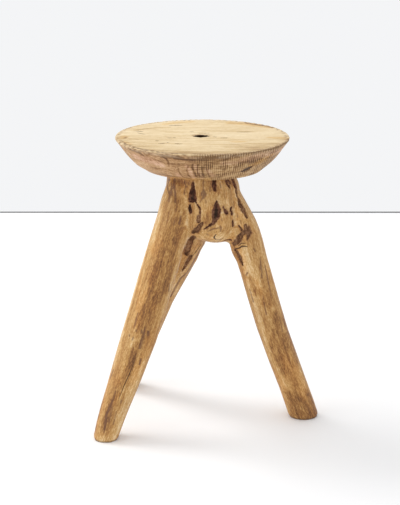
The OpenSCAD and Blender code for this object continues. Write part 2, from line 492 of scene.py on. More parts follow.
# dark stains on the wood, and painted shade under the seat
STAINS_AND_SHADE = [
    # the brown band down the front of the left limb
    [(-49, -62, 338, 7), (-57, -68, 306, 10), (-65, -73, 284, 11), (-76, -79, 254, 13),
     (-81, -83, 237, 13),
     (-84, -86, 219, 9)],
    [(-91, -86, 220, 4), (-99, -90, 199, 6), (-107, -93, 184, 6), (-114, -95, 170, 4)],
    [(-139, -114, 79, 3), (-147, -117, 60, 5)],
    [(-51, -66, 278, 3), (-59, -72, 254, 4), (-66, -77, 236, 5)],
    [(-111, -100, 152, 3), (-121, -108, 117, 6), (-137, -112, 88, 4)],
    [(-156, -122, 34, 3), (-160, -124, 22, 4)],
    [(-164, -96, 60, 3), (-170, -102, 36, 5), (-175, -107, 16, 5)],
    # painted shade under the seat, and stains round the specks beside the lens
    [(-56, -33, 398, 4), (-43, -42, 399, 7), (-31, -49, 398, 5)],
    [(-18, -51, 386, 3), (-17, -52, 377, 3)],
    [(15, -47, 384, 3), (21, -44, 376, 2)],
    [(0, -53, 347, 3), (-3, -53, 335, 3)],
    [(-48, -54, 366, 5), (-44, -60, 345, 6)],
    [(-44, -32, 408, 8), (-24, -47, 408, 6), (10, -50, 410, 3)],
    [(-150, -116, 62, 4), (-160, -121, 26, 6)],
    # the right limb
    [(108, -35, 178, 4), (105, -36, 148, 6), (103, -34, 124, 4)],
    [(124, -29, 142, 5), (130, -29, 122, 4)],
    [(88, -35, 200, 2), (93, -35, 174, 5), (99, -35, 152, 3)],
    [(66, -34, 240, 2), (75, -35, 214, 3)],
    [(110, -34, 130, 3), (117, -35, 110, 5), (121, -34, 84, 5)],
    [(30, -38, 396, 4), (43, -24, 386, 4)],
    [(120, -18, 172, 3), (131, -20, 135, 5), (143, -24, 96, 4)],
    [(136, -36, 40, 8), (146, -35, 24, 15), (150, -35, 6, 18), (170, -30, 4, 14)],
    [(164, -25, 42, 6), (175, -20, 12, 9)],
    [(-60, 100, 240, 6), (-88, 116, 150, 9)],
]
# pale strips: polished wood, and painted highlight along edges that face the light
PALE_STRIPS_AND_HIGHLIGHTS = [
    # polished edges of the left limb, lightened further as painted highlight where the light from the left
    # falls
    [(-96, -48, 290, 4), (-109, -56, 248, 5), (-122, -67, 203, 5), (-136, -84, 150, 5),
     (-150, -96, 105, 4)],
    [(-49, -65, 272, 2.0), (-55, -70, 245, 2.4), (-62, -70, 222, 2.6), (-72, -78, 190, 2)],
    [(-111, -96, 172, 4), (-115, -99, 152, 4)],
    [(-122, -104, 110, 2), (-134, -110, 80, 2)],
    [(-90, -96, 140, 3), (-105, -105, 105, 4), (-125, -110, 65, 4)],
    [(-168, -122, 2, 6), (-150, -124, 3, 8), (-142, -119, 16, 8), (-135, -116, 40, 8),
     (-126, -112, 63, 8),
     (-118, -108, 81, 5)],
    [(-72, -34, 366, 5), (-80, -39, 340, 9), (-86, -43, 320, 9), (-94, -47, 295, 7)],
    [(-39, -55, 359, 4), (-37, -57, 348, 4), (-34, -56, 334, 3)],
    # the right limb, with painted highlight on its side towards the light
    [(60, -34, 285, 7), (66, -34, 262, 9), (74, -35, 245, 10), (80, -35, 226, 5)],
    [(62, -27, 232, 2), (78, -28, 178, 4), (88, -30, 150, 6), (98, -31, 118, 6)],
    [(101, -32, 188, 4), (105, -33, 160, 5)],
    [(96, -22, 120, 5), (112, -30, 86, 6), (124, -32, 60, 4)],
    [(98, -28, 168, 4), (90, -26, 190, 4)],
    # the stub between the limbs, the trunk beside the lens, and the rear limb's inner edge
    [(14, -49, 309, 8), (22, -45, 307, 7)],
    [(46, -32, 357, 3), (52, -33, 343, 4), (58, -34, 330, 4)],
    [(27, -42, 366, 4), (40, -38, 345, 3), (43, -34, 332, 5)],
    [(-20, 30, 276, 5), (-32, 34, 250, 5), (-44, 38, 226, 5), (-60, 58, 190, 5)],
]


def limb_centrelines(points):
    """For each limb, the polynomials of its centre's x and y over height, measured from the base."""
    hub = np.array([*SEAT_CENTRE, base_high.z])
    lines = {name: (foot, hub - foot) for name, foot in FEET.items()}
    centres = {name: [] for name in FEET}
    for height in np.arange(0.02, 0.26, 0.02):
        level = points[np.abs(points[:, 2] - height) < 2.5 * MM]
        places = np.array([(foot + way * height / hub[2])[:2] for foot, way in lines.values()])
        nearest = np.linalg.norm(level[:, None, :2] - places[None], axis=2).argmin(axis=1)
        for k, name in enumerate(FEET):
            ring = level[nearest == k]
            middle = (ring.min(axis=0) + ring.max(axis=0)) / 2
            centres[name].append((height, middle[0], middle[1]))
    fits = {}
    for name, found in centres.items():
        heights, xs, ys = np.array(found).T
        fits[name] = (np.polyfit(heights, xs, 2), np.polyfit(heights, ys, 2))
    return fits


def lay_grain(mesh, points, fits):
    """Stores each point's place across and along its own limb, and which limb it is on.

    The limbs and the trunk blend over a few millimetres, as the grain of a fork does."""
    z = points[:, 2]
    centres = [np.column_stack([np.polyval(x, z), np.polyval(y, z)]) for x, y in fits.values()]
    gaps = [np.linalg.norm(points[:, :2] - c, axis=1) for c in centres]
    trunk = np.repeat([SEAT_CENTRE + np.array([3, 0]) * MM], len(z), axis=0)
    trunk_gap = np.linalg.norm(points[:, :2] - trunk, axis=1) - 16 * MM
    trunk_gap += 60 * MM * (1 - smooth_step(0.27, 0.33, z))
    gaps = np.array([*gaps, trunk_gap])
    weights = np.exp(-(gaps - gaps.min(axis=0)) / (5 * MM))
    weights /= weights.sum(axis=0)
    across = sum(w[:, None] * (points[:, :2] - c) for w, c in zip(weights, [*centres, trunk]))
    limb_seeds = np.array([0.0, 2.3, 4.9, 7.1])
    store(mesh, "grain", np.column_stack([across, z]))
    store(mesh, "limb", limb_seeds @ weights)


def soften_base(mesh):
    """Rounds off the CAD facets and flows the limbs into the trunk, keeping the sawn ends flat."""
    start = mesh_points(mesh)
    z = start[:, 2]
    edges = mesh_edges(mesh)
    points = relax(start, edges, (0.5, -0.52), 30)
    in_fork = smooth_step(0.22, 0.27, z) * (1 - smooth_step(0.385, 0.402, z))
    points = fill_creases(mesh, points, edges, 0.5 * in_fork, 60)
    unevenness = 0.4 * MM * waves(points * (1, 1, 0.3), 30 * MM, 11)
    from_trunk = np.linalg.norm(points[:, :2] - SEAT_CENTRE, axis=1)
    in_fork *= 1 - smooth_step(55 * MM, 75 * MM, from_trunk)
    unevenness += 0.9 * MM * in_fork * waves(points, 14 * MM, 12)
    unevenness *= smooth_step(0, 0.03, z) * (1 - smooth_step(0.395, 0.41, z))
    set_mesh_points(mesh, points)
    points = points + mesh_normals(mesh) * unevenness[:, None]
    sawn = (z < 0.5 * MM) | (z > base_high.z - 0.5 * MM)
    points[sawn, 2] = start[sawn, 2]
    from_peg = np.linalg.norm(start[:, :2] - HOLE_CENTRE, axis=1)
    in_bore = (from_peg < HOLE_RADIUS + 3 * MM) & (z > base_high.z - 0.07)
    points[in_bore] = start[in_bore]
    points[:, 2] = np.clip(points[:, 2], 0, base_high.z)
    set_mesh_points(mesh, points)


def carve_base(mesh):
    """Cuts the bark pockets and cracks into the surface, and stores where each kind of mark is."""
    surface = surface_of(mesh)
    pockets = strokes_on(surface, BARK_POCKETS)
    seams = strokes_on(surface, BARK_SEAMS)
    cracks = strokes_on(surface, CRACKS)
    for _ in range(2):
        refine(mesh, pockets + seams + cracks, REFINED_BAND)
    points = mesh_points(mesh)
    lay_grain(mesh, points, limb_centrelines(points))
    ragged = 0.6 * MM * waves(points, 2.5 * MM, 21) + 0.5 * MM * waves(points, 6 * MM, 22)
    pocket = strokes_inside(pockets, points) + ragged
    seam = strokes_inside(seams, points) + 1.3 * ragged
    bark = np.maximum(pocket, seam)
    crack = strokes_inside(cracks, points)
    streak = strokes_inside(strokes_on(surface, STREAKS), points)
    wander = 2 * MM * waves(points * (1, 1, 0.4), 12 * MM, 23)
    stain_and_shade = strokes_inside(strokes_on(surface, STAINS_AND_SHADE), points, 20 * MM) + wander
    pale = strokes_inside(strokes_on(surface, PALE_STRIPS_AND_HIGHLIGHTS), points, 20 * MM) + wander
    store(mesh, "bark", bark / MM)
    store(mesh, "pocket", pocket / MM)
    store(mesh, "crack", crack / MM)
    store(mesh, "streak", streak / MM)
    store(mesh, "stain_and_shade", smooth_step(-8 * MM, 5 * MM, stain_and_shade))
    store(mesh, "pale", smooth_step(-4 * MM, 4 * MM, pale))
    depth = 1.8 * MM * smooth_step(-0.5 * MM, 1.5 * MM, bark)
    depth += 2.5 * MM * smooth_step(2 * MM, 6 * MM, pocket)
    depth += 0.5 * MM * smooth_step(0, 2 * MM, bark) * waves(points, 2 * MM, 24)
    depth += 1.2 * MM * smooth_step(-0.5 * MM, 0.4 * MM, crack)
    # a low lip of healed wood round each pocket
    depth -= 0.5 * MM * smooth_step(-4 * MM, -1 * MM, bark) * (1 - smooth_step(-1 * MM, 0, bark))
    depth *= (points[:, 2] > 1 * MM) & (points[:, 2] < base_high.z - 1 * MM)
    set_mesh_points(mesh, points - mesh_normals(mesh) * depth[:, None])


def base_material():
    """Honey-coloured branch wood, polished by hands, with dark bark grown into the fork."""
    made = Material("branch_wood")
    grain = made.attribute("grain", "Vector")
    limb, bark, pocket, crack, streak, stain_and_shade, pale = made.attributes(
        "limb", "bark", "pocket", "crack", "streak", "stain_and_shade", "pale"
    )
    place = made.node("TexCoord", {}).outputs["Object"]

    broad = made.noise(made.scaled(grain, (60, 60, 7)), 1.0, 3.0, limb, 0.4)
    streaks = made.noise(made.scaled(grain, (230, 230, 12)), 1.0, 4.0, limb, 0.5, 0.6)
    mottle = made.noise(made.scaled(grain, (330, 330, 90)), 1.0, 5.0, limb, 0.6, 0.7)
    fibres = made.noise(made.scaled(grain, (800, 800, 60)), 1.0, 3.0, limb, 0.2, 0.6)
    speckle = made.noise(made.scaled(grain, (620, 620, 260)), 1.0, 2.0, limb, 0.3, 0.6)
    hue = made.noise(made.scaled(grain, (40, 40, 16)), 1.0, 3.0, limb, 0.4)

    # one tone from 0 (dark) to 1 (pale) from all of the wood's unevenness
    tone = made.weighted(0.61, (0.9, broad), (0.8, streaks), (0.7, mottle), (1.0, speckle), (0.6, fibres))
    # pale strips lighten the tone: polished wood, and painted highlight along edges that face the light
    tone = made.math("ADD", tone, made.math("MULTIPLY", pale, 0.22))
    # stains darken the tone, and so does the painted shade under the seat
    stain_and_shade_darkening = made.math("MULTIPLY", stain_and_shade, made.range(mottle, 0.38, 0.62, 0.36, 0.24))
    tone = made.math("SUBTRACT", tone, stain_and_shade_darkening, True)
    colour = made.ramp(tone, (
        (0.0, (0.12, 0.044, 0.012)), (0.25, (0.25, 0.107, 0.028)), (0.5, (0.42, 0.21, 0.058)),
        (0.75, (0.58, 0.345, 0.125)), (1.0, (0.76, 0.55, 0.3)),
    ))
    # greyer and more orange patches
    colour = made.mix(made.range(hue, 0.52, 0.7, 0, 0.35), colour, (0.84, 0.84, 0.9), "MULTIPLY")
    colour = made.mix(made.range(hue, 0.34, 0.5, 0.5, 0), colour, (1.1, 0.93, 0.72), "MULTIPLY")
    worn_through = made.range(fibres, 0.3, 0.6, 0.5, 0.85)
    soft_streak = made.math("MULTIPLY", made.range(streak, -1.5, 0.5), worn_through)
    colour = made.mix(soft_streak, colour, (0.13, 0.05, 0.024))

    bark_grain = made.noise(made.scaled(grain, (420, 420, 200)), 1.0, 4.0, limb, 0.5, 0.65)
    bark_depth = made.noise(place, 90.0, 3.0, None, 0.3)
    bark_colour = made.ramp(made.weighted(0.47, (1.7, bark_grain), (1.6, bark_depth)), (
        (0.0, (0.025, 0.01, 0.005)), (0.35, (0.085, 0.03, 0.015)), (0.6, (0.16, 0.064, 0.034)),
        (1.0, (0.34, 0.18, 0.1)),
    ))
    # dark bark, painted near black in the middle of each deep pocket as shade in the hollow
    bark_colour = made.mix(made.range(pocket, 2.0, 6.0, 0, 0.85), bark_colour, (0.012, 0.008, 0.006))
    seam_colour = made.ramp(made.weighted(0.5, (2.0, bark_grain), (1.4, bark_depth)), (
        (0.0, (0.05, 0.02, 0.01)), (0.35, (0.14, 0.062, 0.027)), (0.6, (0.24, 0.118, 0.055)),
        (1.0, (0.44, 0.26, 0.14)),
    ))
    bark_colour = made.mix(made.range(pocket, -0.6, 0.3), seam_colour, bark_colour)
    colour = made.mix(made.range(bark, -2.2, -0.2, 0, 0.5), colour, (0.26, 0.1, 0.042))
    in_bark = made.range(bark, -0.3, 0.3)
    colour = made.mix(in_bark, colour, bark_colour)
    # the wood is made darker over the last few millimetres above the floor
    darker_near_floor = made.range(made.node("SeparateXYZ", {0: place}).outputs["Z"], 0.005, 0.001, 0, 0.55)
    colour = made.mix(darker_near_floor, colour, (0.1, 0.055, 0.03))
    in_crack = made.range(crack, -0.5, 0.1)
    colour = made.mix(made.math("MULTIPLY", in_crack, 0.9), colour, (0.06, 0.028, 0.016))

    roughness = made.range(streaks, 0.3, 0.7, 0.44, 0.6)
    roughness = made.math("ADD", roughness, made.math("MULTIPLY", in_bark, 0.5), True)
    height = made.weighted(0.5, (0.7, streaks), (0.5, mottle), (0.4, fibres))
    normal = made.bump(height, 0.0015, 0.5)
    normal = made.bump(made.math("MULTIPLY", bark_grain, in_bark), 0.002, 0.9, normal)
    made.put(made.shader.inputs["Specular IOR Level"], 0.35)
    return made.finish(base_color=colour, roughness=roughness, normal=normal)


def make_base():
    base = remeshed_copy("tripod_base", "forked_base", BASE_VOXEL)
    soften_base(base.data)
    carve_base(base.data)
    shade_smooth(base.data)
    base.data.materials.append(base_material())
    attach(base, "root")
    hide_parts("tripod_base")


# ---------------------------------------------------------------- the seat
# Marks on the seat, as on the base: lines of points (x, y, z, half width) in mm.
SEAT_MARKS = {
    # small dark holes and nicks in the top
    "pit": [
        [(-62, 84, 460, 0.4), (-53, 85, 460, 1.2), (-42, 84, 460, 0.4)],
        [(-114, 38, 460, 0.4), (-109, 37, 460, 1.1), (-103, 34, 460, 0.4)],
        [(-110, 24, 460, 0.3), (-104, 18, 460, 0.7), (-98, 14, 460, 0.3)],
        [(-75, -55, 460, 0.5), (-69, -54, 460, 1.4), (-66, -53, 460, 0.5)],
        [(-50, -53, 460, 0.4), (-47, -55, 460, 1.2), (-40, -55, 460, 0.5)],
        [(-80, -33, 460, 0.5), (-77, -34, 460, 1.2)],
        [(-62, -10, 460, 0.3), (-58, -11, 460, 0.8)],
        [(-54, -8, 460, 0.3), (-51, -9, 460, 0.7)],
        [(-62, -46, 460, 0.7), (-60, -46, 460, 0.5)],
        [(8, -2, 460, 0.3), (12, -4, 460, 0.6)],
        [(20, -10, 460, 0.5), (26, -11, 460, 0.9), (29, -10, 460, 0.4)],
        [(-14, 26, 460, 0.4), (-6, 25, 460, 0.8), (2, 26, 460, 0.3)],
        [(-28, 36, 460, 0.5), (-24, 36, 460, 0.8)],
        [(46, 34, 460, 0.3), (58, 33, 460, 0.7), (66, 34, 460, 0.3)],
    ],
    "knot": [
        [(51, -95, 425, 2.2), (55, -95, 427, 4.6), (60, -94, 429, 4.4), (64, -93, 431, 1.8)],
    ],
    # dark rings where the bevel cuts across the grain
    "ring": [
        [(-82, -118, 455, 0.5), (-74, -123, 456, 0.8), (-68, -124, 455, 0.5)],
        [(-70, -122, 456, 0.8), (-62, -122, 450, 1.3), (-59, -118, 445, 1.1), (-58, -112, 438, 0.4)],
        [(-30, -124, 440, 0.5), (-32, -118, 433, 0.9), (-30, -108, 423, 0.9), (-26, -101, 418, 0.6)],
        [(-23, -128, 443, 0.8), (-24, -124, 438, 1.1), (-22, -117, 431, 1.3), (-18, -106, 420, 1.0)],
        [(-15, -128, 443, 0.7), (-17, -124, 438, 1.0), (-16, -116, 429, 1.2), (-13, -106, 421, 0.9)],
        [(-10, -126, 439, 0.6), (-9, -119, 430, 0.9), (-7, -105, 419, 0.7)],
        [(-3, -122, 436, 0.5), (-1, -114, 428, 0.8), (2, -104, 420, 0.7)],
        [(-45, -117, 438, 0.3), (-42, -106, 425, 0.6), (-38, -98, 418, 0.4)],
        [(-49, -130, 457, 0.8), (-44, -130, 454, 1.3), (-36, -132, 457, 0.8)],
        [(-50, -126, 453, 1.4), (-30, -129, 454, 1.8), (-16, -130, 455, 1.4)],
        [(-118, -76, 457, 1.2), (-103, -94, 455, 1.8), (-96, -96, 451, 1.2)],
        [(-72, -122, 457, 1.0), (-55, -128, 457, 1.4), (-42, -130, 457, 1.0)],
    ],
    # pinkish wood between the rings and at the left of the rim
    "pink": [
        [(-108, -74, 446, 6), (-90, -94, 445, 7), (-68, -106, 440, 5)],
        [(-32, -122, 442, 2), (-26, -112, 430, 2), (-22, -100, 419, 2)],
        [(-20, -124, 444, 1.5), (-14, -112, 430, 2), (-9, -100, 418, 2)],
        [(-46, -104, 424, 3), (-44, -98, 418, 3)],
        [(-2, -118, 434, 3), (6, -106, 423, 3)],
        [(20, -126, 444, 3), (44, -119, 442, 3)],
        [(48, -118, 447, 4), (62, -112, 447, 7), (79, -102, 450, 7), (94, -86, 450, 7),
         (108, -60, 446, 6), (118, -36, 447, 4)],
    ],
    # the dark, ragged arris on the right
    "worn_edge": [
        [(-12, -135, 459, 0.6), (20, -135, 459, 1.2), (48, -126, 459, 1.6), (74, -112, 459, 2.4),
         (96, -89, 459, 3.0), (112, -64, 459, 3.2), (121, -42, 459, 2.4), (126, -22, 459, 1.4)],
        [(-132, -32, 459, 0.6), (-124, -62, 459, 1.0), (-104, -92, 459, 1.2), (-72, -118, 459, 1.0),
         (-36, -132, 459, 0.8)],
        [(60, 112, 459, 1.0), (84, 95, 459, 2.2), (102, 74, 459, 2.0), (116, 50, 459, 1.0)],
        [(-14, -133, 456, 2.2), (0, -134, 455, 2.8), (13, -133, 456, 2.2)],
    ],
    # golden and orange patches
    "gold": [
        [(-136, -20, 460, 5), (-130, -6, 460, 5)],
        [(-128, -46, 459, 3), (-118, -62, 459, 2)],
        [(36, -40, 460, 2), (46, -40, 460, 5), (54, -40, 460, 2)],
        [(96, -12, 460, 4), (118, -18, 460, 7), (124, -30, 460, 5)],
        [(36, 104, 460, 6), (68, 92, 460, 9), (98, 70, 460, 8)],
        [(-70, 92, 460, 4), (-50, 106, 460, 5), (-26, 114, 460, 4)],
        [(60, -96, 433, 3), (78, -88, 440, 4), (94, -72, 446, 4)],
        [(-58, -80, 415, 4), (-24, -94, 414, 4), (0, -97, 414, 3)],
    ],
    # darker marks: stains on the top, and painted shade on the rim just under the arris
    "shade": [
        [(64, 98, 460, 2.5), (90, 78, 460, 2.5), (104, 62, 460, 2)],
        [(-24, 8, 460, 1), (-10, 20, 460, 1.5), (4, 10, 460, 1)],
        [(22, -130, 450, 2), (34, -127, 447, 3), (42, -122, 444, 2)],
        [(-3, -118, 432, 2), (5, -113, 427, 3), (6, -100, 418, 3)],
        [(-116, 44, 460, 1), (-84, 66, 460, 1.5), (-60, 70, 460, 1)],
        [(122, -22, 460, 1.5), (128, -36, 459, 2.5)],
        [(-118, -76, 456, 2), (-90, -105, 455, 3), (-60, -124, 456, 3), (-20, -134, 456, 3),
         (20, -135, 456, 3)],
        [(-128, -18, 460, 1.2), (-126, -10, 460, 1.2)],
    ],
}
# The part of the rim that is scored with fine marks, as angles round the seat's axis, and their pitch
SCORED_FROM, SCORED_TO = math.radians(-99), math.radians(-20)
SCORE_PITCH = 3.3 * MM


def seat_profile():
    """The seat's section as (radius, height, part of the way from the hole's axis to the seat's)."""
    lip, edge = HOLE_LIP, SEAT_EDGE_ROUND
    bore = np.linspace(SEAT_BOTTOM, SEAT_TOP - lip, BORE_STEPS)
    rows = [(HOLE_RADIUS, z, 0.0) for z in bore]
    for angle in np.linspace(0, math.pi / 2, LIP_STEPS)[1:]:
        radius = HOLE_RADIUS + lip * (1 - math.cos(angle))
        rows.append((radius, SEAT_TOP - lip * (1 - math.sin(angle)), 0.0))
    flat_from, flat_to = HOLE_RADIUS + lip, SEAT_RADIUS - edge
    for part in np.linspace(0, 1, TOP_STEPS)[1:]:
        rows.append((flat_from + (flat_to - flat_from) * part, SEAT_TOP, part))
    for angle in np.linspace(0, math.pi / 2, EDGE_STEPS)[1:]:
        height = SEAT_TOP - edge * (1 - math.cos(angle))
        rows.append((flat_to + edge * math.sin(angle), height, 1.0))
    top = np.array([SEAT_RADIUS, SEAT_TOP - edge])
    foot = np.array([UNDERSIDE_RADIUS, SEAT_BOTTOM])
    outward = np.array([top[1] - foot[1], foot[0] - top[0]]) / np.linalg.norm(top - foot)
    for part in np.linspace(0, 1, BEVEL_STEPS)[1:]:
        swell = BEVEL_SWELL * math.sin(math.pi * part ** 1.3)
        radius, height = top + (foot - top) * part + outward * swell
        rows.append((radius, height, 1.0))
    for part in np.linspace(0, 1, UNDERSIDE_STEPS)[1:-1]:
        radius = UNDERSIDE_RADIUS + (HOLE_RADIUS - UNDERSIDE_RADIUS) * part
        rows.append((radius, SEAT_BOTTOM, 1.0 - part))
    return np.array(rows)


def seat_mesh():
    """The profile turned round, as one closed mesh, and the angle of each of its points.

    The turn has finer steps where the rim is scored."""
    fine_step = SCORE_PITCH / 5 / SEAT_RADIUS
    fine = np.arange(SCORED_FROM, SCORED_TO, fine_step)
    coarse = np.linspace(SCORED_TO, SCORED_FROM + 2 * math.pi, SEAT_COARSE_STEPS, endpoint=False)
    angles = np.concatenate([fine, coarse])
    around = len(angles)
    profile = seat_profile()
    radius, height, part = [np.repeat(column, around) for column in profile.T]
    angle = np.tile(angles, len(profile))
    centre = HOLE_CENTRE + part[:, None] * (SEAT_CENTRE - HOLE_CENTRE)
    points = np.column_stack([
        centre[:, 0] + radius * np.cos(angle), centre[:, 1] + radius * np.sin(angle), height
    ])
    faces = []
    for row in range(len(profile)):
        here, above = row * around, (row + 1) % len(profile) * around
        for k in range(around):
            after = (k + 1) % around
            faces.append((here + k, above + k, above + after, here + after))
    mesh = bpy.data.meshes.new("seat_plank")
    mesh.from_pydata(points.tolist(), [], faces)
    mesh.update()
    return mesh, angle


def seat_zones(points, angle):
    """How much each point belongs to the hole, the bevel, the arris and the scored part of the rim."""
    radius = np.linalg.norm(points[:, :2] - SEAT_CENTRE, axis=1)
    from_hole = np.linalg.norm(points[:, :2] - HOLE_CENTRE, axis=1)
    below_top = SEAT_TOP - points[:, 2]
    zones = {"hole": smooth_step(HOLE_RADIUS + 1.6 * MM, HOLE_RADIUS + 0.4 * MM, from_hole)}
    zones["bevel"] = smooth_step(0.2 * MM, 2.6 * MM, below_top) * (from_hole > HOLE_RADIUS + 3 * MM)
    zones["arris"] = smooth_step(SEAT_RADIUS - 11 * MM, SEAT_RADIUS - 3 * MM, radius)
    zones["arris"] *= 1 - smooth_step(4 * MM, 9 * MM, below_top)
    # the margin of the top on its front side, where the top is made darker towards its edge
    zones["margin"] = smooth_step(0.5 * SEAT_RADIUS, 0.98 * SEAT_RADIUS, radius)
    zones["margin"] *= smooth_step(-0.3, 0.8, -np.sin(angle))
    scored = smooth_step(SCORED_FROM, SCORED_FROM + 0.15, angle)
    scored *= smooth_step(SCORED_TO, SCORED_TO - 0.12, angle)
    zones["scored"] = scored * np.maximum(zones["bevel"], zones["arris"])
    return zones


def narrow_mouth(points):
    """Closes the top of the round hole to a smaller ragged opening, wider along the grain."""
    from_hole = points[:, :2] - HOLE_CENTRE
    gap = np.linalg.norm(from_hole, axis=1)
    way = from_hole / gap[:, None]
    mouth = (np.abs(way[:, 0]) / MOUTH_ALONG) ** MOUTH_POINTED
    mouth += (np.abs(way[:, 1]) / MOUTH_ACROSS) ** MOUTH_POINTED
    mouth = mouth ** (-1 / MOUTH_POINTED)
    turned = np.column_stack([way * HOLE_RADIUS, np.zeros(len(gap))])
    mouth *= 1 + MOUTH_RAGGED * waves(turned, 5 * MM, 38)
    closing = 1 - smooth_step(0, 12 * MM, gap - HOLE_RADIUS)
    closing *= smooth_step(SEAT_TOP - 5 * MM, SEAT_TOP - 2 * MM, points[:, 2])
    points[:, :2] -= way * (closing * np.maximum(HOLE_RADIUS - mouth, 0))[:, None]


def shape_seat(mesh, zones, angle):
    """Hand-cut unevenness of the outline and the bevel, and a slightly worn top."""
    points = mesh_points(mesh)
    outward = points[:, :2] - SEAT_CENTRE
    radius = np.linalg.norm(outward, axis=1)
    outward = outward / np.maximum(radius, MM)[:, None]
    near_rim = smooth_step(0.6 * SEAT_RADIUS, SEAT_RADIUS, radius)
    turned = np.column_stack([outward * SEAT_RADIUS, np.zeros(len(radius))])
    uneven = 0.5 * MM * waves(turned, 50 * MM, 31)
    uneven += 0.25 * MM * waves(turned, 12 * MM, 32)
    uneven -= 0.1 * MM
    # the plank is a little wider towards its far side than it is truly round
    uneven += FAR_SIDE_SWELL * smooth_step(0.1, 1.0, outward @ np.array([-0.2, 0.98]))
    points[:, :2] += outward * (near_rim * uneven)[:, None]
    points[:, 1] = np.maximum(points[:, 1], seat_low.y)
    # the foot of the bevel is hewn unevenly, so the flat under the seat isn't quite round
    hewn = smooth_step(SEAT_BOTTOM + 13 * MM, SEAT_BOTTOM, points[:, 2])
    hewn *= smooth_step(20 * MM, 80 * MM, radius)
    points[:, :2] -= outward * (UNDERSIDE_SKEW * hewn * np.sin(2 * angle))[:, None]
    narrow_mouth(points)
    on_top = smooth_step(SEAT_TOP - 2 * MM, SEAT_TOP, points[:, 2])
    worn = 0.9 * MM * (1 - smooth_step(0.2, 0.9, radius / SEAT_RADIUS))
    worn += 0.2 * MM * (1 + waves(points * (0.3, 1, 1), 24 * MM, 33)) * (1 - near_rim)
    points[:, 2] -= on_top * worn
    set_mesh_points(mesh, points)
    facets = 0.7 * MM * waves(points * (1, 1, 0.4), 20 * MM, 34) - 0.3 * MM
    facets *= zones["bevel"] * smooth_step(0, 3 * MM, points[:, 2] - SEAT_BOTTOM)
    set_mesh_points(mesh, points + mesh_normals(mesh) * facets[:, None])


def carve_seat(mesh, zones):
    """Cuts the pits, the knot, the scored grooves and the chips, and stores where each kind of mark is."""
    points = mesh_points(mesh)
    surface = surface_of(mesh)
    marks = {
        name: strokes_inside(strokes_on(surface, table), points)
        for name, table in SEAT_MARKS.items()
    }
    for name, inside in marks.items():
        store(mesh, name, inside / MM)
    for name, zone in zones.items():
        store(mesh, name, zone)
    depth = 0.8 * MM * smooth_step(-0.6 * MM, 0.6 * MM, marks["pit"])
    depth += 1.0 * MM * smooth_step(-0.8 * MM, 1 * MM, marks["knot"])
    across = points[:, :2] - SEAT_CENTRE
    fan = (SEAT_RADIUS / np.maximum(np.linalg.norm(across, axis=1), 0.5 * SEAT_RADIUS)) ** 0.3
    along = across[:, 0] * fan + 0.5 * MM * waves(points, 30 * MM, 36)
    groove = 0.5 - 0.5 * np.cos(2 * math.pi * along / SCORE_PITCH)
    strength = 0.35 + 0.65 * smooth_step(-0.4, 0.8, waves(points, 12 * MM, 37))
    store(mesh, "groove", groove * strength * zones["scored"])
    teeth = smooth_step(-0.3, 0.7, np.cos(2 * math.pi * along / (1.15 * SCORE_PITCH)))
    chips = smooth_step(-0.2, 0.7, waves(points, 3 * MM, 35)) * (1 - 0.6 * zones["scored"])
    chips = np.maximum(chips, teeth * zones["scored"]) * zones["arris"]
    depth += zones["scored"] * (0.3 * MM * groove * strength + 1.0 * MM * chips)
    depth += 0.5 * MM * chips * (1 - zones["scored"])
    store(mesh, "chips", chips)
    points -= mesh_normals(mesh) * depth[:, None]
    points[:, 1] = np.maximum(points[:, 1], seat_low.y)
    points[:, 2] = np.clip(points[:, 2], SEAT_BOTTOM, SEAT_TOP - TOP_CLEARANCE)
    set_mesh_points(mesh, points)


def make_seat():
    mesh, angle = seat_mesh()
    zones = seat_zones(mesh_points(mesh), angle)
    shape_seat(mesh, zones, angle)
    carve_seat(mesh, zones)
    shade_smooth(mesh)
    seat = new_object("plank_seat", mesh)
    mesh.materials.append(seat_material())
    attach(seat, "root")
    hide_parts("seat")


